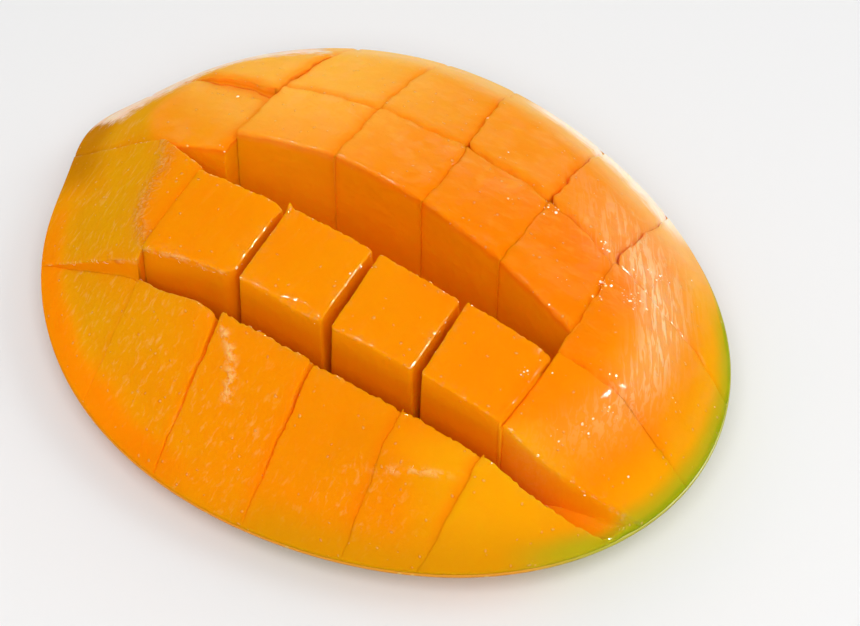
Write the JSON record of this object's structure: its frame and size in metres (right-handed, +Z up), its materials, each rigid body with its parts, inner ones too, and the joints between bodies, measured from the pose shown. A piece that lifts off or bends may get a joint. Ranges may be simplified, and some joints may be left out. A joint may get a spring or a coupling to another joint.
{
  "type": "sliced mango",
  "caption": "Cheek of a ripe mango lying on its skin, its flesh scored into blocks and pressed partly open.",
  "frame": {"origin": "middle of the flat spot on the skin that the cheek rests on", "axes": "+X along the rows of blocks, which is the cheek's long way; +Y across them towards the higher rim; +Z up, from the skin to the cut flesh"},
  "size_m": [0.1168, 0.0914, 0.0294],
  "materials": {
    "mango": "wet orange flesh over a green and yellow skin"
  },
  "bodies": {
    "root": {"mango_cheek": "mango"}
  },
  "joints": []
}
